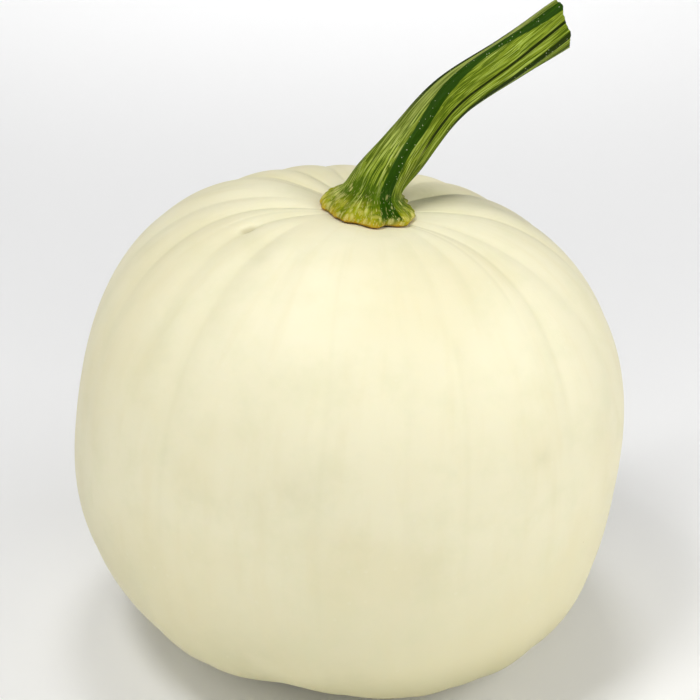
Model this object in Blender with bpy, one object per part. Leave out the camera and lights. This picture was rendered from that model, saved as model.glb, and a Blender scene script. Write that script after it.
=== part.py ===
"""A white ribbed pumpkin, picked with a long ridged stem. Metres, +Z up, standing on Z = 0."""

import math

import bmesh
import bpy
import numpy as np

# The fruit: a rounded body round FRUIT_CENTRE, whose own axis leans to the right.
FRUIT_CENTRE = (0.0004, 0.0002, 0.0988)
BODY_RADIUS = 0.1218
BODY_TOP = 0.1175
BODY_BOTTOM = 0.1018
TOP_SQUARENESS = 2.5
BOTTOM_SQUARENESS = 2.58
BODY_LEAN = math.radians(7.3)

# Directions of the crown and of the blossom end: tilts towards +X and +Y, off the vertical.
CROWN_TILT = (math.radians(4.2), math.radians(1.3))
BLOSSOM_TILT = (math.radians(-7.0), math.radians(0.0))
TILT_CHANGES = (0.7, 2.6)

# Hollows at the two ends of the fruit: depth, and reach in radians down from that end.
CROWN_HOLLOW = (0.012, 0.33)
BLOSSOM_HOLLOW = (0.0062, 0.26)
SCAR_DEPTH = 0.0012
SCAR_REACH = 0.055

# Creases between the ribs: azimuth in degrees from the front (-Y) towards +X, depth in
# millimetres at the shoulder, and how softly its bottom is rounded, in degrees.
CREASES = (
    (-163, 2.0, 0.8),
    (-145, 2.6, 0.6),
    (-126, 3.4, 0.5),
    (-107, 1.3, 1.6),
    (-88, 1.9, 1.2),
    (-71.5, 2.0, 0.5),
    (-54, 1.5, 1.4),
    (-40, 2.7, 1.0),
    (-25.5, 0.9, 1.8),
    (-8, 1.1, 0.7),
    (9, 0.8, 1.2),
    (22, 1.1, 0.8),
    (34, 1.2, 2.0),
    (50.5, 1.9, 0.6),
    (68.5, 1.5, 1.2),
    (93, 2.8, 0.9),
    (112, 1.6, 1.6),
    (128, 3.4, 0.5),
    (146, 2.2, 0.9),
    (163, 2.6, 0.6),
    (180, 1.9, 1.0),
)
RIB_REACH = 5.2
CREASE_FADE_AT_CROWN = (0.10, 0.36)
CREASE_FADE_AT_BLOSSOM = (2.72, 3.06)
WAIST_STRENGTH = 0.42
WAIST_SPREAD = 0.75
FOOT_STRENGTH = 1.2
FOOT_RANGE = (2.0, 2.6)

# Gentle swellings and flats of the body: azimuth and polar angle in degrees, height in
# millimetres, and spread in degrees.
SWELLS = (
    (-110, 48, 1.7, 20),
    (-88, 88, 1.0, 20),
    (-72, 116, -1.0, 18),
    (-41, 121, 2.6, 11),
    (-21, 129, -2.2, 9),
    (14, 136, 1.7, 9),
    (40, 136, 3.2, 13),
    (62, 125, 1.9, 14),
    (112, 48, -0.8, 20),
    (-120, 158, 2.2, 20),
)

# The one short crease that ends in a pit on the left shoulder.
PIT_AT = (-56.0, 28.5)
PIT_DEPTH = 0.0016
PIT_SPREAD = (1.6, 1.1)

# The stem: its middle line in an upright plane that leans back, in millimetres to the
# right of and up from the middle of the crown; its radius; and how much its base adds to
# that, and over what length.
STEM_LEANS_BACK = math.radians(25)
STEM_ROUTE = ((0, 0), (7.6, 14.6), (20.6, 32.6), (36.5, 49.7), (61.7, 65.9), (85.2, 81.7))
STEM_RADIUS = 0.0098
BASE_SWELL = (0.0052, 0.026)

# Where the stem is thinner on one side, or thicker (below zero): azimuth and spread in
# degrees, depth, place up the stem and reach in millimetres.
PINCHES = (
    (87, 48, 4.2, 14.4, 11.9),
    (100, 45, 1.1, 86, 24),
    (-75, 40, -1.3, 120, 14),
)

# Ridges along the stem, in degrees round it from the main one, which is at 0. They wind
# as they climb. Heights are shares of the radius, and the width is half a ridge's foot.
TALL_RIDGES = (-144, -72, 0, 72, 144)
LOW_RIDGES = (-108, 36, 108, 180)
RIDGE_HEIGHT = 0.085
LOW_RIDGE_HEIGHT = 0.03
RIDGE_WIDTH = 36
RIDGE_TURN_AT_BASE = 26
RIDGE_TURN_PER_METRE = -500

# How far the main ridge strays to the left: place and reach up the stem in millimetres,
# and degrees.
MAIN_RIDGE_STRAYS = ((83, 27, 31), (22, 18, 3))
CUT_SLANT = math.tan(math.radians(17))
CUT_LENGTH = 0.032
CUT_DISH_DEPTH = 0.0008

# The foot of the stem: its rim's radius, its toes (azimuth and spread in degrees, length
# in millimetres), how high its fleshy edge is, how soon it narrows to the stem, and how
# soon it stops following the crown's hollow.
RIM_RADIUS = 0.0205
TOES = (
    (-112, -1.0, 18),
    (-22, 5.5, 14),
    (6, 8.5, 12),
    (34, 6.5, 16),
    (62, 1.5, 14),
    (102, -4.4, 26),
    (160, 1.8, 20),
    (-158, 1.6, 20),
)
RIM_EDGE_HEIGHT = 0.0016
RIM_SPREAD = 0.0062
LIFT_SPREAD = 0.0064
FOOT_LENGTH = 0.022
FIT_GAP = 0.0003

SKIN_COLOUR = (0.87, 0.83, 0.66)
SKIN_ROUGHNESS = 0.45
STEM_COLOUR = (0.14, 0.2, 0.03)
STEM_ROUGHNESS = 0.5

# How finely the surfaces are divided, and how far that crowds towards creases and foot.
COLUMNS_PER_RIB = 5
COLUMN_CROWDING = 0.35
FRUIT_ROWS = 34
STEM_COLUMNS = 60
STEM_ROWS = 27
STEM_ROWS_CROWDING = 0.38
ROUTE_STEPS = 40
CAP_ROWS = 3

MILLIMETRE = 0.001


def eased(low, high, value):
    share = np.clip((value - low) / (high - low), 0, 1)
    return share * share * (3 - 2 * share)


def leaned(vectors, towards_x, towards_y):
    """Vectors turned so that what points up leans towards +X, then towards +Y."""
    x, y, z = vectors[..., 0], vectors[..., 1], vectors[..., 2]
    x, z = x * np.cos(towards_x) + z * np.sin(towards_x), z * np.cos(towards_x) - x * np.sin(towards_x)
    y, z = y * np.cos(towards_y) + z * np.sin(towards_y), z * np.cos(towards_y) - y * np.sin(towards_y)
    return np.stack([x, y, z], axis=-1)


def fruit_direction(polar, azimuth):
    """The unit vector from the fruit's centre, by the angle down from the crown and the azimuth."""
    lower = eased(*TILT_CHANGES, polar)
    upright = np.stack(
        [np.sin(polar) * np.sin(azimuth), -np.sin(polar) * np.cos(azimuth), np.cos(polar) + 0 * azimuth],
        axis=-1,
    )
    tilts = [top + (bottom - top) * lower for top, bottom in zip(CROWN_TILT, BLOSSOM_TILT)]
    return leaned(upright, *tilts)


def body_radius(direction):
    own = leaned(direction, -BODY_LEAN, 0.0)
    across = np.hypot(own[..., 0], own[..., 1]) / BODY_RADIUS
    upper = own[..., 2] > 0
    along = np.abs(own[..., 2]) / np.where(upper, BODY_TOP, BODY_BOTTOM)
    power = np.where(upper, TOP_SQUARENESS, BOTTOM_SQUARENESS)
    return (across**power + along**power) ** (-1 / power)


def turn_between(angle, other):
    """The signed difference of two angles in degrees, from -180 to 180."""
    return (angle - other + 180) % 360 - 180


def crease_depth(polar, azimuth):
    """How far the creases cut below the ribs, in metres."""
    degrees = np.degrees(azimuth)
    depth = np.zeros(np.broadcast(polar, azimuth).shape)
    for place, deepest, softness in CREASES:
        away = np.abs(turn_between(degrees, place))
        rounded = np.sqrt(away**2 + softness**2) - softness
        depth = depth + deepest * MILLIMETRE * np.exp(-rounded / RIB_REACH)
    waist = 1 - (1 - WAIST_STRENGTH) * np.exp(-(((polar - math.pi / 2) / WAIST_SPREAD) ** 2))
    foot = 1 + (FOOT_STRENGTH - 1) * eased(*FOOT_RANGE, polar)
    ends = eased(*CREASE_FADE_AT_CROWN, polar) * (1 - eased(*CREASE_FADE_AT_BLOSSOM, polar))
    return depth * waist * foot * ends


def hollow(depth, reach, angle):
    return depth * np.exp(-((angle / reach) ** 2))


def swell_height(polar, azimuth):
    degrees, down = np.degrees(azimuth), np.degrees(polar)
    height = np.zeros(np.broadcast(polar, azimuth).shape)
    for place, level, rise, spread in SWELLS:
        sideways = turn_between(degrees, place) * np.sin(np.radians(level))
        height = height + rise * MILLIMETRE * np.exp(-((sideways**2 + (down - level) ** 2) / spread**2))
    return height


def pit_depth(polar, azimuth):
    sideways = turn_between(np.degrees(azimuth), PIT_AT[0]) * math.sin(math.radians(PIT_AT[1]))
    along = np.degrees(polar) - PIT_AT[1]
    return PIT_DEPTH * np.exp(-((along / PIT_SPREAD[0]) ** 2) - (sideways / PIT_SPREAD[1]) ** 2)


def fruit_surface(polar, azimuth):
    """Points of the fruit's skin, which the ground flattens where it stands."""
    direction = fruit_direction(polar, azimuth)
    radius = body_radius(direction) + swell_height(polar, azimuth)
    radius = radius - hollow(*CROWN_HOLLOW, polar) - hollow(*BLOSSOM_HOLLOW, math.pi - polar)
    radius = radius - hollow(SCAR_DEPTH, SCAR_REACH, math.pi - polar)
    radius = radius - crease_depth(polar, azimuth) - pit_depth(polar, azimuth)
    points = direction * radius[..., None] + np.array(FRUIT_CENTRE)
    points[..., 2] = np.maximum(points[..., 2], 0)
    return points


def rib_columns():
    """Azimuths round the fruit: one in each crease, and the others closer together beside the creases."""
    places = [place for place, _, _ in CREASES]
    columns = []
    for place, following in zip(places, places[1:] + [places[0] + 360]):
        for step in range(COLUMNS_PER_RIB):
            turn = 2 * math.pi * step / COLUMNS_PER_RIB
            share = (turn - COLUMN_CROWDING * math.sin(turn)) / (2 * math.pi)
            columns.append(math.radians(place + (following - place) * share))
    return np.array(columns)


def smooth_route(knots):
    """Closely spaced points of a smooth curve through the knots, and their distances along it."""
    knots = np.array(knots, dtype=float) * MILLIMETRE
    padded = np.vstack([2 * knots[0] - knots[1], knots, 2 * knots[-1] - knots[-2]])
    share = np.linspace(0, 1, ROUTE_STEPS, endpoint=False)[:, None]
    pieces = []
    for before, start, end, after in zip(padded, padded[1:], padded[2:], padded[3:]):
        bend = 2 * before - 5 * start + 4 * end - after
        twist = 3 * start - before - 3 * end + after
        pieces.append(start + 0.5 * ((end - before) * share + bend * share**2 + twist * share**3))
    points = np.vstack(pieces + [knots[-1:]])
    steps = np.linalg.norm(np.diff(points, axis=0), axis=1)
    return points, np.concatenate([[0], np.cumsum(steps)])


def read_along(distances, values, place):
    return np.array([np.interp(place, distances, values[:, axis]) for axis in range(3)])


def rim_radius(azimuth):
    """How far the stem's foot spreads over the crown, with its toes."""
    radius = np.full(np.shape(azimuth), RIM_RADIUS)
    for place, length, spread in TOES:
        away = turn_between(np.degrees(azimuth), place)
        radius = radius + length * MILLIMETRE * np.exp(-((away / spread) ** 2))
    return radius


def crown_axis():
    return fruit_direction(np.zeros(1), np.zeros(1))[0]


def crown_point(radius, azimuth):
    """The underside of the stem: the crown's skin at this distance from its middle, lifted by the gap."""
    middle = fruit_surface(np.zeros(1), np.zeros(1))[0]
    reach = np.linalg.norm(middle - np.array(FRUIT_CENTRE))
    return fruit_surface(radius / reach, azimuth) + FIT_GAP * crown_axis()


def bell(value, spread):
    return np.exp(-((value / spread) ** 2))


def ridge_profile(away):
    """The cosine of a ridge's cross-section, 1 on its top and 0 from its foot on."""
    return np.cos(np.clip(away / RIDGE_WIDTH, -1, 1) * math.pi / 2)


def pinch_depth(angle, distance):
    """How much thinner than round the stem is on one side, in metres."""
    depth = np.zeros(np.shape(angle))
    for azimuth, spread, most, middle, reach in PINCHES:
        around = bell(turn_between(np.degrees(angle), azimuth), spread)
        depth = depth + most * MILLIMETRE * around * bell(distance / MILLIMETRE - middle, reach)
    return depth


def ridge_shape(angle, distance):
    """The tall and low ridges across the stem, as a share of its radius."""
    winding = np.degrees(angle) - RIDGE_TURN_AT_BASE - RIDGE_TURN_PER_METRE * distance
    stray = sum(most * bell(distance / MILLIMETRE - middle, reach) for middle, reach, most in MAIN_RIDGE_STRAYS)
    tall = sum(ridge_profile(turn_between(winding, place - stray * (place == 0))) ** 4 for place in TALL_RIDGES)
    low = sum(ridge_profile(turn_between(winding, place)) ** 8 for place in LOW_RIDGES)
    return RIDGE_HEIGHT * (tall - 0.5) + LOW_RIDGE_HEIGHT * low


def tube_radius(angle, distance):
    """The stem's own radius, without its foot."""
    base = BASE_SWELL[0] * bell(distance, BASE_SWELL[1])
    ridges = ridge_shape(angle, distance) * eased(RIM_EDGE_HEIGHT, FOOT_LENGTH, distance)
    return (STEM_RADIUS + base) * (1 + ridges) - pinch_depth(angle, distance)


def stem_angles():
    return np.arange(STEM_COLUMNS) / STEM_COLUMNS * 2 * math.pi


def stem_rings():
    """Rings of points up the stem, from the rim on the crown to the cut end, and the heading there."""
    right = np.array([1.0, 0.0, 0.0])
    upright = np.array([0, math.sin(STEM_LEANS_BACK), math.cos(STEM_LEANS_BACK)])
    facing = np.cross(right, upright)
    angles = stem_angles()
    crown = crown_point(np.zeros(1), np.zeros(1))[0]
    flat_route, distances = smooth_route(STEM_ROUTE)
    route = crown + flat_route[:, :1] * right + flat_route[:, 1:] * upright
    headings = np.gradient(route, distances, axis=0)
    length = distances[-1]
    rim = crown_point(rim_radius(angles), angles)
    rim_lift = (rim - crown) @ crown_axis()
    share = np.linspace(0, 1, STEM_ROWS)
    rings = [rim]
    for place in (length * (share + STEM_ROWS_CROWDING * share * (share - 1)))[1:]:
        centre = read_along(distances, route, place)
        heading = read_along(distances, headings, place)
        turned = eased(0, FOOT_LENGTH, place)
        axis = crown_axis() * (1 - turned) + heading / np.linalg.norm(heading) * turned
        axis = axis / np.linalg.norm(axis)
        front = facing - axis * (facing @ axis)
        front = front / np.linalg.norm(front)
        side = np.cross(axis, front)
        tube = tube_radius(angles, place)
        spread = math.exp(-((max(place - RIM_EDGE_HEIGHT, 0) / RIM_SPREAD) ** 3))
        radius = tube + (rim_radius(angles) - tube) * spread
        sideways = radius * np.sin(angles)
        lift = rim_lift * math.exp(-((place / LIFT_SPREAD) ** 2))
        slant = eased(length - CUT_LENGTH, length, place) * CUT_SLANT
        ring = centre + (radius * np.cos(angles))[:, None] * front + sideways[:, None] * side
        rings.append(ring + lift[:, None] * crown_axis() - (sideways * slant)[:, None] * axis)
    return rings, axis


def add_fan(mesh, ring, middle, upward):
    for corner, following in zip(ring, ring[1:] + ring[:1]):
        mesh.faces.new((corner, following, middle) if upward else (following, corner, middle))


def closed_object(name, rings, first_point, last_point, material):
    """A closed body from rings of points, the lowest first, and a point that closes each end."""
    mesh = bmesh.new()
    rows = [[mesh.verts.new(point) for point in ring] for ring in rings]
    for lower, upper in zip(rows, rows[1:]):
        for index in range(len(lower)):
            mesh.faces.new((lower[index - 1], lower[index], upper[index], upper[index - 1]))
    add_fan(mesh, rows[0], mesh.verts.new(first_point), upward=False)
    add_fan(mesh, rows[-1], mesh.verts.new(last_point), upward=True)
    bmesh.ops.triangulate(mesh, faces=mesh.faces[:])
    data = bpy.data.meshes.new(name)
    mesh.to_mesh(data)
    mesh.free()
    data.materials.append(material)
    data.shade_smooth()
    made = bpy.data.objects.new(name, data)
    bpy.context.scene.collection.objects.link(made)
    return made


def plain_material(name, colour, roughness):
    material = bpy.data.materials.new(name)
    material.use_nodes = True
    shader = material.node_tree.nodes["Principled BSDF"]
    shader.inputs["Base Color"].default_value = (*colour, 1)
    shader.inputs["Roughness"].default_value = roughness
    shader.inputs["Metallic"].default_value = 0
    return material


def make_fruit():
    columns = rib_columns()
    levels = np.linspace(math.pi, 0, FRUIT_ROWS + 2)
    rings = [fruit_surface(np.full(columns.shape, level), columns) for level in levels[1:-1]]
    blossom_end, crown = (fruit_surface(np.array([level]), np.zeros(1))[0] for level in (math.pi, 0.0))
    skin = plain_material("ivory skin", SKIN_COLOUR, SKIN_ROUGHNESS)
    return closed_object("fruit", rings, blossom_end, crown, skin)


def make_stem():
    rings, heading = stem_rings()
    angles = stem_angles()
    shares = np.arange(1, CAP_ROWS + 1) / (CAP_ROWS + 1)
    underside = [crown_point(rim_radius(angles) * share, angles) for share in shares]
    cut_middle = rings[-1].mean(axis=0)
    dish_floor = cut_middle - heading * CUT_DISH_DEPTH
    dish = [rings[-1] * (1 - share) + dish_floor * share for share in shares]
    crown = crown_point(np.zeros(1), np.zeros(1))[0]
    green = plain_material("green stem", STEM_COLOUR, STEM_ROUGHNESS)
    return closed_object("stem", underside + rings + dish, crown, dish_floor, green)


def main():
    for leftover in list(bpy.data.objects):
        bpy.data.objects.remove(leftover, do_unlink=True)
    make_fruit()
    make_stem()


main()
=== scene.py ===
import math

import bpy
import numpy as np
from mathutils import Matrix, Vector


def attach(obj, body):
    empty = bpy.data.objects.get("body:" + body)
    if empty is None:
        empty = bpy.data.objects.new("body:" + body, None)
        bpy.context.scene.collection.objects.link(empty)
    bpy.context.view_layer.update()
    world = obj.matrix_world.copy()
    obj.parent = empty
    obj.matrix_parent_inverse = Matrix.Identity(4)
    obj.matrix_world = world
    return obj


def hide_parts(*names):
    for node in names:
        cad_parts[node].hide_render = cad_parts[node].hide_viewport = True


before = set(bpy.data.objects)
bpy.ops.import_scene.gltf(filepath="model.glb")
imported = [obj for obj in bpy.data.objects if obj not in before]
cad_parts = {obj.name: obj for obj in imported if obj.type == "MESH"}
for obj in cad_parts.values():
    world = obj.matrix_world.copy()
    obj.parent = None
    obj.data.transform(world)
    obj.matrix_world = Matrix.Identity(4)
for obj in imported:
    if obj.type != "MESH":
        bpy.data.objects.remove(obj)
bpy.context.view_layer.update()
print("The fixed frame is loaded")

millimetre = 0.001
tiny = 1e-12
seed = 27
draws = np.random.default_rng(seed)  # the one source of random numbers


# The fruit's shape. Lengths are in metres and angles in radians, but in the tables places are in
# degrees (azimuth from the front towards the right, and how far down from the crown), and depths
# and heights are in millimetres.
fruit = {
    "centre": (0.0004, 0.0002, 0.0988),
    "radius": 0.1218,
    "top": 0.1175,
    "bottom": 0.1018,
    "topSquareness": 2.5,
    "bottomSquareness": 2.58,
    "lean": math.radians(7.3),
    "crownTilt": (math.radians(4.2), math.radians(1.3)),
    "blossomTilt": (math.radians(-7.0), 0.0),
    "tiltChanges": (0.7, 2.6),
    "crownHollow": (0.012, 0.33),
    "blossomHollow": (0.0062, 0.26),
    "scarHollow": (0.0012, 0.055),
    "ribReach": 5.2,
    "creaseBeginsOver": 0.26,
    "creaseFadeAtBlossom": (2.72, 3.06),
    "waistStrength": 0.42,
    "waistSpread": 0.75,
    "footStrength": 1.2,
    "footRange": (2.0, 2.6),
    "drift": (0.42, 1.15),  # from where to where down a crease moves to its second azimuth
    "lineWidth": 1.15,  # half the width of the fine line in a crease, in degrees
    "lineFade": (1.6, 0.7),  # it is deepest from here times its start to here times its end
    "inset": 0.0002,  # keeps the smooth skin within the box of the faceted solid
    "pit": {"at": (-57.5, 28.8), "depth": 1.4, "spread": (2.0, 1.2)},
    "smudgesAndPaintedShade": (  # dark patches, some of them blemishes and some painted shade: azimuth, down, spread in degrees, strength
        (-10, 74, 4.0, 0.45),
        (-18, 78, 4.0, 0.2),
        (41, 73, 2.0, 0.5),
        (-28, 80, 5.0, 0.12),
        (14, 92, 5.0, 0.2),
        (-37.5, 34, 1.8, 0.4),
        (-53, 56, 5.0, 0.3),
        (104, 98, 7.0, 0.4),
        (150, 70, 6.0, 0.4),
        (-150, 105, 8.0, 0.4),
        (-118, 66, 5.0, 0.3),
        # painted shade on a rib face beside the crown that turns away from the light
        (-50, 31, 5.0, 0.7),
        # the next three are painted shade on the underside
        (-24, 118, 11.0, 1.1),
        (-3, 122, 9.0, 1.0),
        (-55, 100, 8.0, 0.5),
        # these two are the stem's shadow on the crown, painted
        (122, 19, 6.0, 1.2),
        (138, 18, 6.0, 1.8),
    ),
    "columnsPerRib": 19,
    "columnCrowding": 0.45,
    "rows": 204,
}

# Each crease: azimuth at the shoulder, azimuth at the waist, depth, softness in degrees, the
# angle down in radians where it begins, depth of the fine line in it, and where that begins
# and ends.
fruit["creases"] = (
    (-163, -163, 1.8, 1.2, 0.12, 0.10, 0.14, 1.5),
    (-145, -145, 2.2, 1.0, 0.10, 0.16, 0.12, 1.1),
    (-129, -125, 3.2, 1.0, 0.08, 0.24, 0.10, 0.8),
    (-121, -118, 0.9, 1.0, 0.08, 0.14, 0.10, 0.6),
    (-107, -107, 1.0, 3.0, 0.34, 0.00, 0.20, 0.8),
    (-89, -87, 1.5, 2.4, 0.22, 0.04, 0.20, 1.0),
    (-74, -71, 1.9, 1.8, 0.10, 0.12, 0.12, 1.0),
    (-65, -62, 0.4, 1.4, 0.12, 0.08, 0.13, 0.7),
    (-56.5, -51.5, 1.8, 2.2, 0.12, 0.10, 0.12, 0.6),
    (-42.5, -40, 2.5, 2.0, 0.28, 0.10, 0.60, 1.9),
    (-27, -24, 1.1, 2.4, 0.34, 0.00, 0.30, 1.0),
    (-9.5, -6, 1.1, 1.6, 0.34, 0.09, 0.30, 2.2),
    (8.5, 10.5, 0.8, 1.6, 0.34, 0.07, 0.60, 1.9),
    (22, 22.7, 1.1, 1.8, 0.30, 0.10, 0.60, 2.0),
    (35, 33, 1.5, 2.8, 0.22, 0.03, 0.30, 1.2),
    (45.5, 43.5, 0.4, 1.4, 0.12, 0.10, 0.13, 0.9),
    (52, 49.5, 1.6, 1.8, 0.10, 0.12, 0.16, 1.5),
    (62, 70, 1.4, 2.2, 0.20, 0.05, 0.20, 0.9),
    (94, 92, 2.4, 1.4, 0.14, 0.18, 0.12, 0.9),
    (112, 112, 1.0, 2.6, 0.34, 0.00, 0.20, 1.0),
    (129, 127, 3.0, 1.0, 0.10, 0.24, 0.10, 0.8),
    (146, 146, 1.7, 1.8, 0.24, 0.06, 0.20, 1.2),
    (163, 163, 2.2, 1.2, 0.12, 0.16, 0.12, 1.4),
    (180, 180, 1.5, 2.0, 0.30, 0.05, 0.20, 1.3),
)

# Swellings and flats: azimuth, angle down, height, spread in degrees.
fruit["swells"] = (
    (-110, 48, 1.7, 20),
    (-88, 88, 1.0, 20),
    (-72, 116, -1.0, 18),
    (-41, 121, 2.6, 11),
    (-21, 129, -2.2, 9),
    (14, 136, 1.7, 9),
    (40, 136, 3.2, 13),
    (62, 125, 1.9, 14),
    (112, 48, -0.8, 20),
    (-120, 158, 2.2, 20),
)


def eased(low, high, value):
    # 0 below low, 1 above high, and a smooth step from one to the other
    share = np.clip((value - low) / (high - low), 0, 1)
    return share * share * (3 - 2 * share)


def bell(value, spread):
    return np.exp(-((value / spread) ** 2))


def turnBetween(angle, other):
    # how many degrees it is from other to angle, the short way round
    return (angle - other + 180) % 360 - 180


def oneLong(vectors):
    # the same directions, each of length 1
    return vectors / np.maximum(np.linalg.norm(vectors, axis=-1, keepdims=True), tiny)


def turned(level, height, angle):
    cosine, sine = np.cos(angle), np.sin(angle)
    return level * cosine + height * sine, height * cosine - level * sine


def leaned(vectors, towardsX, towardsY):
    x, y, z = vectors[..., 0], vectors[..., 1], vectors[..., 2]
    x, z = turned(x, z, towardsX)
    y, z = turned(y, z, towardsY)
    return np.stack([x, y, z], axis=-1)


def fruitDirection(down, azimuth):
    lower = eased(*fruit["tiltChanges"], down)
    across, along = np.sin(down), np.cos(down) + 0 * azimuth
    upright = np.stack([across * np.sin(azimuth), -across * np.cos(azimuth), along], axis=-1)
    ends = zip(fruit["crownTilt"], fruit["blossomTilt"])
    return leaned(upright, *[crown + (blossom - crown) * lower for crown, blossom in ends])


def bodyRadius(direction):
    own = leaned(direction, -fruit["lean"], 0.0)
    across = np.hypot(own[..., 0], own[..., 1]) / fruit["radius"]
    upper = own[..., 2] > 0
    along = np.abs(own[..., 2]) / np.where(upper, fruit["top"], fruit["bottom"])
    power = np.where(upper, fruit["topSquareness"], fruit["bottomSquareness"])
    return (across**power + along**power) ** (-1 / power)


def creaseDepths(down, azimuth):
    # the broad valleys between the ribs, and the fine lines at their bottoms
    degrees = np.degrees(azimuth)
    drift = eased(*fruit["drift"], down)
    valleys = np.zeros(np.broadcast(down, azimuth).shape)
    lines = valleys.copy()
    for shoulder, waist, depth, softness, start, lineDepth, lineStart, lineEnd in fruit["creases"]:
        away = np.abs(turnBetween(degrees, shoulder + (waist - shoulder) * drift))
        rounded = np.sqrt(away**2 + softness**2) - softness
        begun = eased(start, start + fruit["creaseBeginsOver"], down)
        valleys = valleys + depth * millimetre * np.exp(-rounded / fruit["ribReach"]) * begun
        deepFrom, deepTo = lineStart * fruit["lineFade"][0], lineEnd * fruit["lineFade"][1]
        shown = eased(lineStart, deepFrom, down) * (1 - eased(deepTo, lineEnd, down))
        lines = lines + lineDepth * millimetre * bell(away, fruit["lineWidth"]) * shown
    waist = 1 - (1 - fruit["waistStrength"]) * bell(down - math.pi / 2, fruit["waistSpread"])
    foot = 1 + (fruit["footStrength"] - 1) * eased(*fruit["footRange"], down)
    return valleys * waist * foot * (1 - eased(*fruit["creaseFadeAtBlossom"], down)), lines


def swellHeight(down, azimuth):
    height = np.zeros(np.broadcast(down, azimuth).shape)
    for place, level, rise, spread in fruit["swells"]:
        sideways = turnBetween(np.degrees(azimuth), place) * np.sin(np.radians(level))
        away = np.hypot(sideways, np.degrees(down) - level)
        height = height + rise * millimetre * bell(away, spread)
    return height


def pitDepth(down, azimuth):
    place, level = fruit["pit"]["at"]
    downwards, crosswise = fruit["pit"]["spread"]
    sideways = turnBetween(np.degrees(azimuth), place) * math.sin(math.radians(level))
    along = np.degrees(down) - level
    return fruit["pit"]["depth"] * millimetre * bell(along, downwards) * bell(sideways, crosswise)


# how dark the skin is painted at each point: blemishes, and painted shade such as the stem's shadow
def smudgeAndShadeStrength(down, azimuth):
    strength = np.zeros(np.broadcast(down, azimuth).shape)
    for place, level, spread, most in fruit["smudgesAndPaintedShade"]:
        sideways = turnBetween(np.degrees(azimuth), place) * np.sin(down)
        strength = strength + most * bell(np.hypot(sideways, np.degrees(down) - level), spread)
    return strength


def hollow(name, angle):
    depth, reach = fruit[name]
    return depth * bell(angle, reach)


def fruitSurface(down, azimuth, withLines=True):
    direction = fruitDirection(down, azimuth)
    valleys, lines = creaseDepths(down, azimuth)
    radius = bodyRadius(direction) + swellHeight(down, azimuth) - valleys - pitDepth(down, azimuth)
    radius = radius - fruit["inset"] - hollow("crownHollow", down)
    radius = radius - hollow("blossomHollow", math.pi - down) - hollow("scarHollow", math.pi - down)
    if withLines:
        radius = radius - lines
    points = direction * radius[..., None] + np.array(fruit["centre"])
    points[..., 2] = np.maximum(points[..., 2], 0)  # the ground flattens it where it stands
    return points


def addObject(name, data):
    made = bpy.data.objects.new(name, data)
    bpy.context.scene.collection.objects.link(made)
    return made


def makePiece(name, rings, firstPoint, lastPoint, marks):
    # a closed skin from rings of points, lowest first, with a number at each point for each mark
    levels, columns = rings.shape[:2]
    points = np.vstack([rings.reshape(-1, 3), [firstPoint, lastPoint]])
    here = np.arange(levels * columns).reshape(levels, columns)
    right = np.roll(here, -1, axis=1)
    quads = np.stack([here[:-1], right[:-1], right[1:], here[1:]], axis=-1).reshape(-1, 4)
    first, last = levels * columns, levels * columns + 1
    fans = [(right[0, i], here[0, i], first) for i in range(columns)]
    fans += [(here[-1, i], right[-1, i], last) for i in range(columns)]
    mesh = bpy.data.meshes.new(name)
    mesh.from_pydata(points.tolist(), [], quads.tolist() + fans)
    for mark, values in marks.items():
        ends = [values[0].mean(), values[-1].mean()]
        attribute = mesh.attributes.new(mark, "FLOAT", "POINT")
        attribute.data.foreach_set("value", np.append(values.ravel(), ends))
    mesh.shade_smooth()
    return addObject(name, mesh)


def fruitColumns():
    # the azimuths of the upright rows of points, closer together in the creases
    shoulders = [crease[0] for crease in fruit["creases"]]
    columns = []
    for place, following in zip(shoulders, shoulders[1:] + [shoulders[0] + 360]):
        turn = np.arange(fruit["columnsPerRib"]) * 2 * math.pi / fruit["columnsPerRib"]
        share = (turn - fruit["columnCrowding"] * np.sin(turn)) / (2 * math.pi)
        columns.append(place + (following - place) * share)
    return np.radians(np.concatenate(columns))


def makeFruit():
    azimuth = fruitColumns()[None, :]
    down = np.linspace(math.pi, 0, fruit["rows"] + 2)[1:-1, None]
    drift = eased(*fruit["drift"], down)
    shifts = [waist - shoulder for shoulder, waist, *_ in fruit["creases"]]
    shoulders = np.radians([crease[0] for crease in fruit["creases"]])
    allRound = np.append(shoulders, shoulders[0] + 2 * math.pi)
    shift = np.interp(azimuth, allRound, shifts + shifts[:1])
    azimuth = azimuth + np.radians(shift) * drift  # the columns follow the creases
    down = down + 0 * azimuth
    rings = fruitSurface(down, azimuth)
    valleys, lines = creaseDepths(down, azimuth)
    ends = [fruitSurface(np.full(1, level), np.zeros(1))[0] for level in (math.pi, 0.0)]
    marks = {
        "down": down,
        "valley": valleys / millimetre,
        "line": lines / millimetre,
        "pit": pitDepth(down, azimuth) / millimetre,
        "smudge": smudgeAndShadeStrength(down, azimuth),
        "frontwards": np.cos(azimuth),
        "rightwards": np.sin(azimuth),
    }
    return makePiece("ribbedFruit", rings, *ends, marks)


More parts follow.
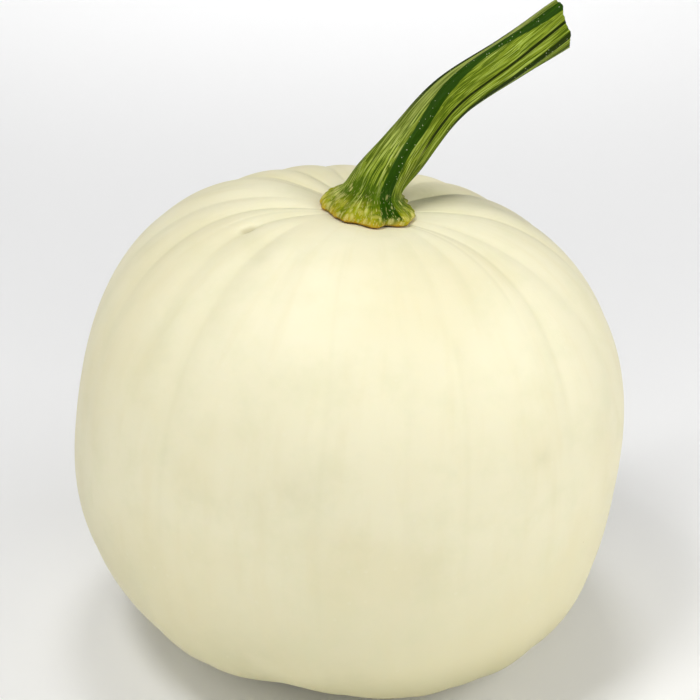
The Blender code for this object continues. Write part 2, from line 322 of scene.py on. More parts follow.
# The stem's shape, in metres. Its route is in millimetres to the right of and up from the middle
# of the crown, in an upright plane that leans back. The other tables hold degrees and millimetres
# too.
stem = {
    "leansBack": math.radians(25),
    "route": ((0, 0), (7.6, 14.6), (20.6, 32.6), (36.5, 49.7), (61.7, 65.9), (85.2, 81.7)),
    "radius": 0.0098,
    "baseSwell": (0.0052, 0.026),
    "tallRidges": (-144, -72, 72, 144),  # degrees round the stem from the main ridge
    "lowRidges": (-108, 36, 108, 180),
    "ridgeHeight": 0.085,
    "lowRidgeHeight": 0.03,
    "ridgeMiddle": 0.5,
    "ridgeWidth": 36,
    "ridgeSharpness": 4,
    "lowRidgeSharpness": 8,
    "turnAtBase": 26,
    "turnPerMetre": -500,
    "mainRidgeStrays": ((83, 27, 31), (22, 18, 3)),  # how far up, reach, degrees to the left
    "pinches": (  # azimuth, spread, depth, how far up, reach
        (87, 48, 4.2, 14.4, 11.9),
        (100, 45, 1.1, 86, 24),
        (-75, 40, -1.3, 120, 14),
    ),
    "cutSlant": math.tan(math.radians(17)),
    "cutLength": 0.032,
    "cutDish": 0.0022,
    "tornDepth": 0.0007,
    "tornLength": 0.010,
    "tornByRidge": 1.2,
    "torn": (  # waves round the cut, height as a share, start in radians
        (2, 0.25, 0.4),
        (7, 0.22, 1.0),
        (11, 0.16, 2.2),
        (17, 0.12, 0.3),
        (29, 0.10, 1.7),
    ),
    "rimRadius": 0.0205,
    "toes": (  # azimuth, length, spread
        (-112, -1.0, 18),
        (-22, 5.5, 14),
        (6, 8.5, 12),
        (34, 6.5, 16),
        (62, 1.5, 14),
        (102, -4.4, 26),
        (160, 1.8, 20),
        (-158, 1.6, 20),
    ),
    "lobes": ((9, 0.35, 0.0), (14, 0.5, 3.84), (23, 0.3, 2.0)),  # waves, height, start in radians
    "lobeMiddle": 0.003,
    "lobeReach": 0.0055,
    "rimEdge": 0.0016,
    "rimSpread": 0.0062,
    "rimSquareness": 3,
    "rimRounding": 0.0014,
    "liftSpread": 0.0064,
    "footLength": 0.022,
    "gap": 0.00015,
    "columns": 300,
    "rows": 290,
    "rowCrowding": 0.38,
    "underRows": 4,
    "cutRows": 12,
    "stepsBetweenKnots": 40,
    "warts": 260,
    "wartHeight": (0.1, 0.5),
    "wartSize": (0.45, 1.0),
    "wartStretch": 0.85,
    "wartCrowding": 0.24,  # how far up the foot most of them reach, as a share
    "girthPower": 0.35,  # how much the finish spreads where the stem is thicker
}


def smoothRoute(knots):
    knots = np.array(knots, dtype=float) * millimetre
    padded = np.vstack([2 * knots[0] - knots[1], knots, 2 * knots[-1] - knots[-2]])
    share = np.linspace(0, 1, stem["stepsBetweenKnots"], endpoint=False)[:, None]
    parts = []
    for before, start, end, after in zip(padded, padded[1:], padded[2:], padded[3:]):
        bend = 2 * before - 5 * start + 4 * end - after
        twist = 3 * start - before - 3 * end + after
        parts.append(start + 0.5 * ((end - before) * share + bend * share**2 + twist * share**3))
    points = np.vstack(parts + [knots[-1:]])
    steps = np.linalg.norm(np.diff(points, axis=0), axis=1)
    return points, np.concatenate([[0], np.cumsum(steps)])


def readAlong(distances, values, place):
    return np.array([np.interp(place, distances, values[:, axis]) for axis in range(3)])


def rimRadius(azimuth):
    radius = np.full(np.shape(azimuth), stem["rimRadius"])
    for place, length, spread in stem["toes"]:
        away = turnBetween(np.degrees(azimuth), place)
        radius = radius + length * millimetre * bell(away, spread)
    return radius


def lobeHeight(angle):
    # the soft lobes side by side round the foot
    waves = [height * np.cos(count * angle + start) for count, height, start in stem["lobes"]]
    return sum(waves) * millimetre


def crownAxis():
    return fruitDirection(np.zeros(1), np.zeros(1))[0]


def crownPoint(radius, azimuth):
    middle = fruitSurface(np.zeros(1), np.zeros(1))[0]
    reach = np.linalg.norm(middle - np.array(fruit["centre"]))
    return fruitSurface(radius / reach, azimuth, withLines=False) + stem["gap"] * crownAxis()


def windingAt(angle, distance):
    # degrees round the stem from where its main ridge winds up, were that never to stray
    return np.degrees(angle) - stem["turnAtBase"] - stem["turnPerMetre"] * distance


def ridgeProfile(away):
    return np.cos(np.clip(away / stem["ridgeWidth"], -1, 1) * math.pi / 2)


def ridgeHeights(angle, distance):
    # how high the main ridge, the other tall ones and the low ones stand here, from 0 to 1
    winding = windingAt(angle, distance)
    place = distance / millimetre
    strays = [most * bell(place - middle, reach) for middle, reach, most in stem["mainRidgeStrays"]]
    sharp, lowSharp = stem["ridgeSharpness"], stem["lowRidgeSharpness"]
    main = ridgeProfile(turnBetween(winding, -sum(strays))) ** sharp
    tall = sum(ridgeProfile(turnBetween(winding, other)) ** sharp for other in stem["tallRidges"])
    low = sum(ridgeProfile(turnBetween(winding, other)) ** lowSharp for other in stem["lowRidges"])
    return main, tall, low


def pinchDepth(angle, distance):
    # where the stem is thinner on one side than it would be, or thicker
    depth = np.zeros(np.shape(angle))
    for azimuth, spread, most, middle, reach in stem["pinches"]:
        around = bell(turnBetween(np.degrees(angle), azimuth), spread)
        depth = depth + most * millimetre * around * bell(distance / millimetre - middle, reach)
    return depth


def tubeRadius(angle, distance):
    main, tall, low = ridgeHeights(angle, distance)
    ridges = stem["ridgeHeight"] * (main + tall - stem["ridgeMiddle"])
    ridges = ridges + stem["lowRidgeHeight"] * low
    ridges = ridges * eased(stem["rimEdge"], stem["footLength"], distance)
    base = stem["baseSwell"][0] * bell(distance, stem["baseSwell"][1])
    return (stem["radius"] + base) * (1 + ridges) - pinchDepth(angle, distance)


def tornEnd(angle, length):
    # the ridges were cut a little longer than the soft sides between them, and not evenly
    main, tall, _ = ridgeHeights(angle, length)
    winding = np.radians(windingAt(angle, length))
    ragged = sum(share * np.sin(count * winding + start) for count, share, start in stem["torn"])
    return stem["tornDepth"] * (stem["tornByRidge"] * (main + tall - 1) + ragged)


def stemRings(angles):
    right = np.array([1.0, 0.0, 0.0])
    upright = np.array([0, math.sin(stem["leansBack"]), math.cos(stem["leansBack"])])
    facing = np.cross(right, upright)
    crown = crownPoint(np.zeros(1), np.zeros(1))[0]
    flatRoute, distances = smoothRoute(stem["route"])
    route = crown + flatRoute[:, :1] * right + flatRoute[:, 1:] * upright
    headings = np.gradient(route, distances, axis=0)
    length = distances[-1]
    rimLift = (crownPoint(rimRadius(angles), angles) - crown) @ crownAxis()
    share = np.linspace(0, 1, stem["rows"])
    places = length * (share + stem["rowCrowding"] * share * (share - 1))
    rings = []
    for place in places:
        centre = readAlong(distances, route, place)
        heading = readAlong(distances, headings, place)
        turn = eased(0, stem["footLength"], place)
        axis = oneLong(crownAxis() * (1 - turn) + oneLong(heading) * turn)
        front = oneLong(facing - axis * (facing @ axis))
        side = np.cross(axis, front)
        tube = tubeRadius(angles, place)
        lobes = lobeHeight(angles) * bell(place - stem["lobeMiddle"], stem["lobeReach"])
        lip = max(1 - place / stem["rimEdge"], 0)
        rim = rimRadius(angles) - stem["rimRounding"] * (1 - math.sqrt(1 - lip**2))
        aboveRim = max(place - stem["rimEdge"], 0) / stem["rimSpread"]
        bulge = math.exp(-(aboveRim ** stem["rimSquareness"]))
        radius = tube + (rim - tube) * bulge + lobes
        sideways = radius * np.sin(angles)
        lift = rimLift * bell(place, stem["liftSpread"])
        slant = eased(length - stem["cutLength"], length, place) * stem["cutSlant"]
        torn = tornEnd(angles, length) * eased(length - stem["tornLength"], length, place)
        ring = centre + (radius * np.cos(angles))[:, None] * front + sideways[:, None] * side
        rings.append(ring + lift[:, None] * crownAxis() + (torn - sideways * slant)[:, None] * axis)
    return np.array(rings), places, axis


def outwardOf(rings):
    around = np.roll(rings, -1, axis=1) - np.roll(rings, 1, axis=1)
    return oneLong(np.cross(around, np.gradient(rings, axis=0)))


def wartHeights(rings, places):
    # small fleshy bumps, longer than wide, close together on the foot and soon fewer above it
    bumps = np.zeros(rings.shape[:2])
    footRows = int(np.searchsorted(places, stem["footLength"]))
    lengthwise = oneLong(np.gradient(rings, axis=0))
    for _ in range(stem["warts"]):
        row = min(int(abs(draws.normal()) * footRows * stem["wartCrowding"]), footRows - 1)
        column = draws.integers(rings.shape[1])
        size = draws.uniform(*stem["wartSize"]) * millimetre
        tall = draws.uniform(*stem["wartHeight"])
        away = rings[:footRows] - rings[row, column]
        along = away @ lengthwise[row, column]
        spread = (away**2).sum(axis=-1) - stem["wartStretch"] * along**2
        distance = np.sqrt(np.maximum(spread, 0))
        bumps[:footRows] = np.maximum(bumps[:footRows], tall * bell(distance, size))
    return bumps * eased(0, stem["rimEdge"], places)[:, None]


def makeStem():
    angles = np.arange(stem["columns"]) / stem["columns"] * 2 * math.pi
    rings, places, heading = stemRings(angles)
    warts = wartHeights(rings, places)
    rings = rings + outwardOf(rings) * (warts * millimetre)[..., None]
    underShares = np.arange(1, stem["underRows"] + 1) / (stem["underRows"] + 1)
    contact = rimRadius(angles) - stem["rimRounding"]
    under = np.array([crownPoint(contact * share, angles) for share in underShares])
    cutMiddle = rings[-1].mean(axis=0) - heading * stem["cutDish"]
    cutShares = np.arange(1, stem["cutRows"] + 1) / (stem["cutRows"] + 1)
    cut = np.array([rings[-1] * (1 - share) + cutMiddle * share for share in cutShares])
    everyRing = np.concatenate([under, rings, cut])
    zeroesUnder, zeroesCut = np.zeros(under.shape[:2]), np.zeros(cut.shape[:2])
    winding = np.radians(windingAt(angles[None, :], places[:, None]))
    main, tall, low = ridgeHeights(angles[None, :], places[:, None])
    girth = (tubeRadius(angles[None, :], places[:, None]) / stem["radius"]).mean(axis=1)
    girth = girth[:, None] ** stem["girthPower"]

    def mark(values, atCut=None):
        onCut = values[-1] if atCut is None else atCut
        return np.concatenate([zeroesUnder + values[0], values, zeroesCut + onCut])

    marks = {
        "climb": mark(places[:, None] + 0 * winding),
        "acrossCos": mark(np.cos(winding) * girth),
        "acrossSin": mark(np.sin(winding) * girth),
        "sideways": mark(np.sin(winding)),
        "mainRidge": mark(main),
        "tallRidge": mark(tall),
        "lowRidge": mark(low),
        "wart": mark(warts, 0),
        "lobe": mark(lobeHeight(angles) / millimetre + 0 * winding, 0),
        "towardsCutMiddle": mark(0 * winding, cutShares[:, None]),
    }
    crown = crownPoint(np.zeros(1), np.zeros(1))[0]
    return makePiece("ridgedStem", everyRing, crown, cutMiddle, marks)


fruitPiece = makeFruit()
print("The fruit has", len(fruitPiece.data.polygons), "faces")
stemPiece = makeStem()
print("The stem has", len(stemPiece.data.polygons), "faces")


class Shade:
    # Wraps the output of a node, so that a sum on shades adds its Math nodes to their material.
    def __init__(self, tree, output=None):
        self.tree = tree
        self.output = output

    def node(self, kind, settings, values, output=0):
        made = self.tree.nodes.new(kind)
        for name, setting in settings.items():
            if name == "stops":
                layStops(made.color_ramp, setting)
            else:
                setattr(made, name, setting)
        for name, value in values.items():
            if isinstance(value, Shade):
                self.tree.links.new(value.output, made.inputs[name])
            else:
                made.inputs[name].default_value = value
        return Shade(self.tree, made.outputs[output])

    def maths(self, operation, first, second):
        return self.node("ShaderNodeMath", {"operation": operation}, {0: first, 1: second})

    def __add__(self, other):
        return self.maths("ADD", self, other)

    def __sub__(self, other):
        return self.maths("SUBTRACT", self, other)

    def __rsub__(self, other):
        return self.maths("SUBTRACT", other, self)

    def __mul__(self, other):
        return self.maths("MULTIPLY", self, other)

    __radd__ = __add__
    __rmul__ = __mul__

    def mark(self, name):
        return self.node("ShaderNodeAttribute", {"attribute_name": name}, {}, "Fac")

    def between(self, start, full):
        # 0 before start, 1 beyond full and a smooth step between them; full may be the lower one
        if start > full:
            return 1 - self.between(full, start)
        smooth = {"interpolation_type": "SMOOTHSTEP"}
        values = {"Value": self, "From Min": start, "From Max": full}
        return self.node("ShaderNodeMapRange", smooth, values, "Result")

    def point(self, x, y, z):
        return self.node("ShaderNodeCombineXYZ", {}, {"X": x, "Y": y, "Z": z})

    def cloud(self, place, scale, detail=2.0, roughness=0.5):
        values = {"Vector": place, "Scale": scale, "Detail": detail, "Roughness": roughness}
        return self.node("ShaderNodeTexNoise", {}, values, "Fac")

    def speckle(self, place, scale, size, share):
        # round dots of about one size with a soft edge, in this share of the cells
        cells = {"Vector": place, "Scale": scale, "Randomness": 1.0}
        distance = self.node("ShaderNodeTexVoronoi", {}, cells, "Distance")
        colour = self.node("ShaderNodeTexVoronoi", {}, cells, "Color")
        chance = self.node("ShaderNodeSeparateColor", {}, {"Color": colour}, "Red")
        return distance.between(size, size / 2) * chance.between(share + 0.02, share)


def blend(first, second, share):
    # first where share is 0 and second where it is 1
    return share.node("ShaderNodeMix", {"data_type": "RGBA"}, {0: share, 6: first, 7: second}, 2)


def layered(colour, layers):
    # lays tints over a colour, one after the other: each is a colour and a strength, and perhaps
    # where what it follows starts and is full
    for (tint, strength, *ends), follows in layers:
        share = follows.between(*ends) if ends else follows
        colour = blend(colour, tint, share * strength)
    return colour


def layStops(ramp, stops):
    while len(ramp.elements) > 1:
        ramp.elements.remove(ramp.elements[-1])
    ramp.elements[0].position, ramp.elements[0].color = stops[0]
    for position, colour in stops[1:]:
        ramp.elements.new(position).color = colour


def paint(red, green, blue):
    # a colour as a paint chart gives it, from 0 to 255, turned into light
    shares = [level / 255 for level in (red, green, blue)]
    return (*[s / 12.92 if s <= 0.04045 else ((s + 0.055) / 1.055) ** 2.4 for s in shares], 1.0)


def newMaterial(name):
    material = bpy.data.materials.new(name)
    material.use_nodes = True
    return material, Shade(material.node_tree)


def settle(material, values):
    # what is the same all over is set on the shader's own sockets
    shader = material.node_tree.nodes["Principled BSDF"]
    for name, value in values.items():
        shader.inputs[name].default_value = value
    return shader


def finishMaterial(material, colour, roughness, height, settled):
    # height is in millimetres
    bumps = {"Height": height, "Distance": millimetre, "Strength": 1.0}
    normal = colour.node("ShaderNodeBump", {}, bumps, "Normal")
    shader = settle(material, settled)
    for name, shade in {"Base Color": colour, "Roughness": roughness, "Normal": normal}.items():
        material.node_tree.links.new(shade.output, shader.inputs[name])


skin = {
    "crown": paint(243, 237, 204),
    "waist": paint(242, 236, 202),
    # the foot's colour is darker than the crown's, much of it painted shade of the underside
    "foot": paint(226, 219, 178),
    "waistAt": 0.6,  # share of the way from the crown's colour to the foot's
    "colourReach": (0.2, 2.5),  # radians down from the crown where that way starts and ends
    # Clouds: scale, detail and roughness.
    "streaks": (13.0, 3.0),
    "streakStretch": 0.2,
    "mottle": (55.0, 4.0, 0.6),
    "patches": (16.0, 2.0),
    "grain": (900.0, 2.0),
    "lumps": (30.0, 2.0),
    # Dots: scale, size in their cell, and the share of the cells that hold one.
    "pores": (420.0, 0.22, 0.5),
    "paleSpecks": (160.0, 0.16, 0.3),
    "tanSpecks": (70.0, 0.04, 0.06),
    # Tints: colour, strength, and where what they follow starts and is full.
    "greenTint": (paint(226, 224, 184), 0.32, 0.42, 0.75),
    "tanTint": (paint(232, 222, 178), 0.35, 0.45, 0.7),
    "tanStreakTint": (paint(232, 222, 178), 0.22, 0.48, 0.75),
    # the colour of blemishes and of painted shade, such as the stem's shadow on the crown and the
    # shaded underside
    "smudgeAndShadeTint": (paint(194, 189, 144), 0.2),
    # painted shade in the crease valleys and in the fine lines at their bottoms
    "valleyShadeTint": (paint(214, 209, 164), 0.25, 0.6, 3.2),
    "lineShadeTint": (paint(214, 209, 164), 0.4, 0.02, 0.28),
    "paleSpeckTint": (paint(250, 246, 226), 0.1),
    "tanSpeckTint": (paint(196, 176, 128), 0.3),
    # painted shade near the ground: the skin darkens as it comes down to the floor
    "groundShadeTint": (paint(196, 190, 144), 0.9, 0.05, 0.004),
    # painted shade in the pit, darker where it is deeper
    "pitShadeTint": (paint(186, 176, 134), 0.6, 0.3, 1.3),
    "scarTint": (paint(168, 142, 96), 0.8, 3.06, 3.11),
    "smudgeAndShadeMottle": (0.3, 0.65),
    "smudgeAndShadeMottling": 0.8,
    "roughness": 0.42,
    "mottleRoughness": 0.12,
    "grainRoughness": 0.05,
    # Heights in millimetres.
    "lumpHeight": 0.4,
    "streakHeight": 0.08,
    "grainHeight": 0.012,
    "poreDepth": 0.015,
    "settled": {
        "Specular IOR Level": 0.4,
        "Subsurface Weight": 0.12,
        "Subsurface Radius": (1.0, 0.8, 0.45),
        "Subsurface Scale": 0.004,
    },
}


def ivorySkin():
    material, make = newMaterial("ivory skin")
    down = make.mark("down")
    place = make.node("ShaderNodeTexCoord", {}, {}, "Object")
    stretched = down * skin["streakStretch"]
    meridians = make.point(make.mark("frontwards"), make.mark("rightwards"), stretched)
    streaks = make.cloud(meridians, *skin["streaks"])
    mottle = make.cloud(place, *skin["mottle"])
    patches = make.cloud(place, *skin["patches"])
    grain = make.cloud(place, *skin["grain"])
    lumps = make.cloud(place, *skin["lumps"])
    pores = make.speckle(place, *skin["pores"])
    mottling = mottle.between(*skin["smudgeAndShadeMottle"]) * skin["smudgeAndShadeMottling"]
    ramp = ((0.0, skin["crown"]), (skin["waistAt"], skin["waist"]), (1.0, skin["foot"]))
    wayDown = {"Fac": down.between(*skin["colourReach"])}
    layers = (
        (skin["greenTint"], mottle),
        (skin["tanTint"], patches),
        (skin["tanStreakTint"], streaks),
        # blemishes and painted shade: the stem's shadow on the crown and the shaded underside
        (skin["smudgeAndShadeTint"], make.mark("smudge") * (mottling + 1)),
        # painted shade, deeper where the creases are deeper
        (skin["valleyShadeTint"], make.mark("valley")),
        (skin["lineShadeTint"], make.mark("line")),
        (skin["paleSpeckTint"], make.speckle(place, *skin["paleSpecks"])),
        (skin["tanSpeckTint"], make.speckle(place, *skin["tanSpecks"])),
        # painted shade, darker the nearer the skin is to the floor
        (skin["groundShadeTint"], make.node("ShaderNodeSeparateXYZ", {}, {"Vector": place}, "Z")),
        # painted shade in the pit
        (skin["pitShadeTint"], make.mark("pit")),
        (skin["scarTint"], down),
    )
    colour = layered(make.node("ShaderNodeValToRGB", {"stops": ramp}, wayDown, "Color"), layers)
    roughness = skin["roughness"] + mottle * skin["mottleRoughness"]
    roughness = roughness + grain * skin["grainRoughness"]
    height = lumps * skin["lumpHeight"] + streaks * skin["streakHeight"]
    height = height + grain * skin["grainHeight"] - pores * skin["poreDepth"]
    finishMaterial(material, colour, roughness, height, skin["settled"])
    return material


green = {
    # Clouds: scale, detail and roughness.
    "waver": (2.2, 2.0),
    "fibres": (15.0, 2.0, 0.6),
    "threads": (24.0, 1.0),
    "shades": (3.0, 2.0),
    "blotches": (240.0, 2.0),
    "patches": (110.0, 2.0),
    "cutGrain": (900.0, 3.0),
    # The smaller its stretch, the longer a cloud is drawn out along the stem.
    "waverStretch": 26.0,
    "fibreStretch": 3.0,
    "threadStretch": 2.4,
    "shadeStretch": 12.0,
    "fleckStretch": 20.0,
    "fibreStray": 0.2,
    "threadStray": 0.15,
    # Dots: scale, size in their cell, and the share of the cells that hold one.
    "flecks": (40.0, 0.42, 0.5),
    "coarseDots": (560.0, 0.17, 0.25),
    "fineDots": (910.0, 0.24, 0.2),
    "dotsOffBands": 0.05,
    "bundles": (700.0, 0.3, 0.6),
    # Bands and ridges: their edges as ridge height, and how far other things shift these.
    "frayByWaver": 0.3,
    "frayByFibres": 0.5,
    "bandEdge": (0.58, 0.70),
    "bandFray": 0.8,
    "bandWidening": 0.24,
    "secondWidening": 0.6,
    "sideBandEdge": (0.70, 0.86),
    "sideBandFray": 0.6,
    "sideBandWidening": 0.25,
    "thinLineEdge": (0.87, 0.94),
    "thinLineWaver": 0.12,
    "grooveEdge": (0.05, -0.5),
    "litPaleSideEdge": (-0.1, -0.75),
    # What clouds turn into: where each starts and is full.
    "lightFibres": (0.51, 0.62),
    "lightShades": (0.25, 0.6),
    "darkFootFibres": (0.49, 0.42),
    "paleFootFibres": (0.54, 0.62),
    "collarPatches": (0.44, 0.56),
    "footGaps": (0.5, 0.62),
    "footGapShare": 0.7,
    "paleBlotches": (0.48, 0.6),
    "lowBlotches": (0.3, 0.46),
    # Tints: colour, strength, and where what they follow starts and is full.
    "faceDark": paint(84, 106, 10),
    "faceMiddle": (paint(138, 156, 42), 1.0, 0.36, 0.5),
    "faceLight": (paint(172, 190, 86), 1.0),
    # painted light: the stem's left faces paler, standing for the bright reflection they show
    "litPaleFace": (paint(170, 178, 102), 0.6),
    "darkThread": (paint(58, 80, 4), 0.8, 0.51, 0.6),
    "darkFootThread": (paint(58, 80, 4), 0.85),
    "paleFootThread": (paint(204, 208, 122), 0.5),
    "shade": (paint(104, 118, 26), 0.4, 0.55, 0.35),
    "collarPatch": (paint(70, 98, 2), 0.8),
    "foot": (paint(146, 150, 14), 1.0),
    "footPale": (paint(200, 190, 88), 0.6),
    "footLow": (paint(190, 158, 40), 0.8),
    # painted shade in the grooves between the foot's lobes
    "grooveShade": (paint(70, 98, 2), 0.55),
    "thinLine": (paint(24, 36, 0), 0.95),
    "sideBand": (paint(26, 44, 2), 0.95),
    "band": paint(36, 66, 0),
    "bandLight": (paint(58, 96, 10), 0.5, 0.5, 0.7),
    "footEdge": (paint(158, 104, 34), 0.6),
    "paleWart": (paint(216, 208, 128), 0.5, 0.14, 0.36),
    "paleFleck": (paint(216, 208, 128), 0.6),
    "speck": (paint(214, 222, 176), 0.7),
    "cutFlesh": paint(190, 200, 128),
    "cutPith": (paint(222, 218, 176), 1.0, 0.35, 0.75),
    "cutBundle": (paint(132, 152, 70), 0.6),
    "cutMiddle": (paint(176, 164, 112), 0.7, 0.86, 0.97),
    # The cut face, as a share of the way to its middle.
    "cutEdge": (0.02, 0.12),
    "bundlesStart": (0.12, 0.2),
    "bundlesEnd": (0.55, 0.4),
    "pithFray": 0.4,
    "middleFray": 0.3,
    "bandRoughness": 0.34,
    "faceRoughness": 0.52,
    "threadRoughness": 0.1,
    # Heights in millimetres.
    "fibreHeight": 0.45,
    "threadHeight": 0.15,
    "blotchHeight": 0.1,
    "dotHeight": 0.06,
    "fleckHeight": 0.2,
    "cutGrainHeight": 0.25,
    "bundleDepth": 0.1,
    "settled": {"Specular IOR Level": 0.05},
}

# How far up the stem in metres each thing starts and is full; a falling pair ends it.
green["reaches"] = {
    "bandWidens": (0.03, 0.055),
    "bandNarrows": (0.086, 0.066),
    "bandWidensAgain": (0.09, 0.11),
    "litPaleSide": (0.012, 0.05),
    "sideBand": (0.03, 0.06),
    "thinLine": (0.02, 0.045),
    "nearFoot": (0.05, 0.02),
    "collarStarts": (0.002, 0.006),
    "collarEnds": (0.02, 0.009),
    "grooveEnds": (0.014, 0.006),
    "fleckStarts": (0.0002, 0.0012),
    "fleckEnds": (0.016, 0.005),
    "footEdge": (0.0014, 0.0004),
}

# The same for what has a ragged end, after how many metres its end strays.
green["raggedReaches"] = {
    "foot": (0.006, 0.0095, 0.0035),
    "lowFoot": (0.005, 0.0048, 0.0008),
    "band": (0.006, 0.0012, 0.0055),
}


def greenStem():
    material, make = newMaterial("green stem")
    climb, middle = make.mark("climb"), make.mark("towardsCutMiddle")
    cosine, sine = make.mark("acrossCos"), make.mark("acrossSin")
    place = make.node("ShaderNodeTexCoord", {}, {}, "Object")
    reach = {name: climb.between(*ends) for name, ends in green["reaches"].items()}

    def alongStem(x, y, stretch):
        return make.point(x, y, climb * green[stretch])

    def ragged(name, stray):
        amount, start, full = green["raggedReaches"][name]
        return (climb + stray * amount).between(start, full)

    waver = make.cloud(alongStem(cosine, sine, "waverStretch"), *green["waver"]) - 0.5
    stray = waver * green["fibreStray"]
    fibrePlace = alongStem(cosine + stray, sine - stray, "fibreStretch")
    fibres = make.cloud(fibrePlace, *green["fibres"])
    threadPlace = alongStem(cosine + waver * green["threadStray"], sine, "threadStretch")
    threads = make.cloud(threadPlace, *green["threads"])
    shades = make.cloud(alongStem(cosine, sine, "shadeStretch"), *green["shades"])
    blotches = make.cloud(place, *green["blotches"])
    patches = make.cloud(place, *green["patches"])
    frayed = waver * green["frayByWaver"] + (fibres - 0.5) * green["frayByFibres"]
    blotched = blotches - 0.5

    # painted light on the stem's left side, where it shows a bright reflection
    litPaleSide = make.mark("sideways").between(*green["litPaleSideEdge"]) * reach["litPaleSide"]
    widening = reach["bandWidensAgain"] * green["secondWidening"]
    widening = reach["bandWidens"] * reach["bandNarrows"] + widening
    band = make.mark("mainRidge") + frayed * green["bandFray"] + widening * green["bandWidening"]
    band = band.between(*green["bandEdge"])
    sideBand = make.mark("tallRidge") + frayed * green["sideBandFray"]
    sideBand = sideBand + litPaleSide * green["sideBandWidening"]
    sideBand = sideBand.between(*green["sideBandEdge"]) * reach["sideBand"]
    thinLine = make.mark("lowRidge") + waver * green["thinLineWaver"]
    thinLine = thinLine.between(*green["thinLineEdge"]) * reach["thinLine"]
    foot, lowFoot = ragged("foot", frayed), ragged("lowFoot", blotched)
    collar = reach["collarStarts"] * reach["collarEnds"]
    # painted shade, in the grooves between the lobes of the foot
    grooveShade = make.mark("lobe").between(*green["grooveEdge"]) * reach["grooveEnds"]
    flecks = make.speckle(alongStem(cosine, sine, "fleckStretch"), *green["flecks"])
    flecks = flecks * reach["fleckStarts"] * reach["fleckEnds"]
    dots = make.speckle(place, *green["coarseDots"]) + make.speckle(place, *green["fineDots"])
    onBands = (band + sideBand) * (1 - green["dotsOffBands"])
    dots = dots * (onBands + green["dotsOffBands"])

    lightFibres = fibres.between(*green["lightFibres"]) * shades.between(*green["lightShades"])
    footCover = 1 - patches.between(*green["footGaps"]) * green["footGapShare"]
    bandColour = layered(green["band"], [(green["bandLight"], fibres)])
    layers = (
        (green["faceMiddle"], fibres),
        (green["faceLight"], lightFibres),
        # painted light on the left side
        (green["litPaleFace"], litPaleSide),
        (green["darkThread"], threads),
        (green["darkFootThread"], fibres.between(*green["darkFootFibres"]) * reach["nearFoot"]),
        (green["paleFootThread"], fibres.between(*green["paleFootFibres"]) * reach["nearFoot"]),
        (green["shade"], shades),
        (green["collarPatch"], patches.between(*green["collarPatches"]) * collar),
        (green["foot"], foot * footCover),
        (green["footPale"], foot * blotches.between(*green["paleBlotches"])),
        (green["footLow"], lowFoot * blotches.between(*green["lowBlotches"])),
        (green["grooveShade"], grooveShade),
        (green["thinLine"], thinLine),
        (green["sideBand"], sideBand),
        ((bandColour, 1.0), band * ragged("band", blotched)),
        (green["footEdge"], reach["footEdge"]),
        (green["paleWart"], make.mark("wart")),
        (green["paleFleck"], flecks),
        (green["speck"], dots),
    )
    onStem = layered(green["faceDark"], layers)

    onCut = middle.between(*green["cutEdge"])
    bundleRing = middle.between(*green["bundlesStart"]) * middle.between(*green["bundlesEnd"])
    bundles = make.speckle(place, *green["bundles"]) * bundleRing
    grain = make.cloud(place, *green["cutGrain"])
    cutLayers = (
        (green["cutPith"], middle + (grain - 0.5) * green["pithFray"]),
        (green["cutBundle"], bundles),
        (green["cutMiddle"], middle + (grain - 0.5) * green["middleFray"]),
    )
    colour = blend(onStem, layered(green["cutFlesh"], cutLayers), onCut)
    roughness = (green["bandRoughness"] - green["faceRoughness"]) * band
    roughness = roughness + green["faceRoughness"] + threads * green["threadRoughness"]
    height = fibres * green["fibreHeight"] + threads * green["threadHeight"]
    height = height + blotches * green["blotchHeight"]
    height = height + dots * green["dotHeight"] + flecks * green["fleckHeight"]
    cutHeight = grain * green["cutGrainHeight"] - bundles * green["bundleDepth"]
    height = height * (1 - onCut) + cutHeight * onCut
    finishMaterial(material, colour, roughness, height, green["settled"])
    return material


# The studio: a pale floor that rises far out all round, soft lights and the camera of the
# photograph.
studio = {
    "floorFinish": {
        "Base Color": (0.94, 0.94, 0.94, 1.0),
        "Roughness": 0.9,
        "Specular IOR Level": 0.1,
    },
    "floorRadius": 2.4,
    "firstRing": 0.98,  # a ring of points that far out keeps the shading of the flat part even
    "floorBend": 1.0,
    "floorSides": 96,
    "bendSteps": 16,
    "wallTop": 4.0,
    "worldColour": (1.0, 1.0, 1.0, 1.0),
    "worldStrength": 0.02,
    "target": (0.0012, 0.0002, 0.1406),
    "distance": 0.860,
    "elevation": math.radians(25),
    "lens": 100.0,
    "sensor": 36.0,
    "clip": (0.01, 50.0),
}

# Each light: place, what it points at, side length, watts and spread in degrees.
studio["lights"] = {
    "leftLight": ((-1.15, -0.15, 0.95), fruit["centre"], 0.9, 3.6, 180),
    "rightLight": ((1.2, -0.2, 0.75), fruit["centre"], 0.9, 8.5, 180),
    "frontLight": ((0.1, -1.5, 0.75), fruit["centre"], 0.9, 6.8, 180),
    "keyLight": ((-0.4, -0.45, 1.35), fruit["centre"], 0.3, 6.3, 180),
    "topLight": ((0.0, 0.12, 1.5), fruit["centre"], 0.3, 4.25, 180),
    "floorLight": ((0.0, 1.7, 1.0), (0.0, 1.6, 0.0), 1.6, 7.0, 90),
}


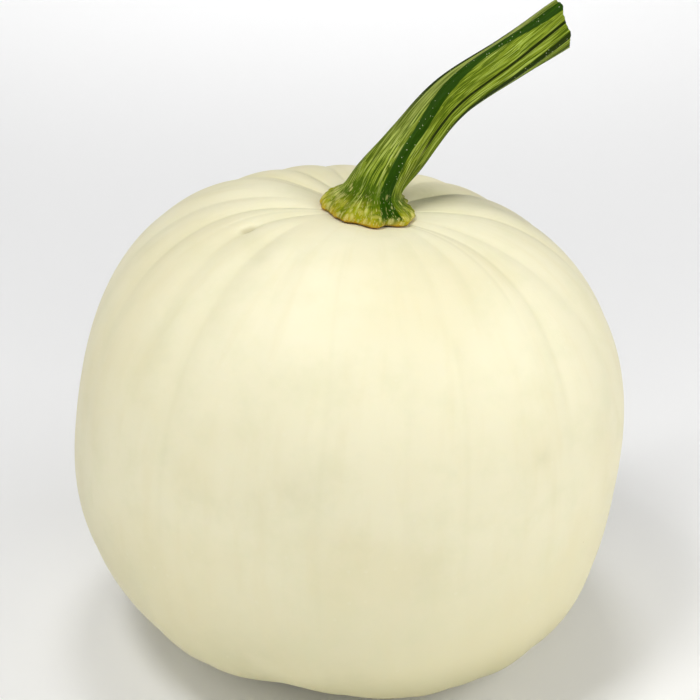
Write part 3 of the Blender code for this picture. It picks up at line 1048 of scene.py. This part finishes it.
def floorAndBackdrop():
    # flat under the fruit, and rising all round it like the wall of a wide bowl
    flat, bend, top = studio["floorRadius"], studio["floorBend"], studio["wallTop"]
    turns = np.linspace(0, math.pi / 2, studio["bendSteps"])
    profile = [(flat * studio["firstRing"], 0.0)]
    profile += [(flat + bend * math.sin(turn), bend - bend * math.cos(turn)) for turn in turns]
    profile.append((flat + bend, top))
    sides = np.arange(studio["floorSides"]) * 2 * math.pi / studio["floorSides"]
    points = [
        (radius * math.sin(side), radius * math.cos(side), height)
        for radius, height in profile
        for side in sides
    ]
    here = np.arange(len(points)).reshape(len(profile), len(sides))
    after = np.roll(here, -1, axis=1)
    faces = np.stack([here[:-1], after[:-1], after[1:], here[1:]], axis=-1).reshape(-1, 4).tolist()
    faces += [(int(after[0, i]), int(here[0, i]), len(points)) for i in range(len(sides))]
    mesh = bpy.data.meshes.new("floor")
    mesh.from_pydata(points + [(0.0, 0.0, 0.0)], [], faces)
    mesh.shade_smooth()
    material, _ = newMaterial("pale floor")
    settle(material, studio["floorFinish"])
    mesh.materials.append(material)
    return addObject("floor", mesh)


def aim(thing, place, target):
    thing.location = place
    thing.rotation_euler = (Vector(target) - Vector(place)).to_track_quat("-Z", "Y").to_euler()


def addLight(name, place, target, side, watts, spread):
    light = bpy.data.lights.new(name, "AREA")
    light.size, light.energy, light.spread = side, watts, math.radians(spread)
    made = addObject(name, light)
    made.visible_camera = False  # no lamp stands in a picture from another side
    aim(made, place, target)


def addCamera():
    camera = bpy.data.cameras.new("camera")
    camera.lens, camera.sensor_width = studio["lens"], studio["sensor"]
    camera.clip_start, camera.clip_end = studio["clip"]
    made = addObject("camera", camera)
    back = Vector((0, -math.cos(studio["elevation"]), math.sin(studio["elevation"])))
    aim(made, Vector(studio["target"]) + back * studio["distance"], studio["target"])
    bpy.context.scene.camera = made


def lightWorld():
    world = bpy.data.worlds.new("studio")
    world.use_nodes = True
    background = world.node_tree.nodes["Background"]
    background.inputs["Color"].default_value = studio["worldColour"]
    background.inputs["Strength"].default_value = studio["worldStrength"]
    bpy.context.scene.world = world
    bpy.context.scene.view_settings.view_transform = "Standard"


for piece, node, slot, finish in (
    (fruitPiece, "fruit", "ivory_skin", ivorySkin),
    (stemPiece, "stem", "green_stem", greenStem),
):
    piece.data.materials.append(finish())
    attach(piece, "root")
    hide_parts(node)
print("Both pieces have their finish and ride on the frame")

floorAndBackdrop()
for name, light in studio["lights"].items():
    addLight(name, *light)
lightWorld()
addCamera()
print("The studio is lit and the camera is set")
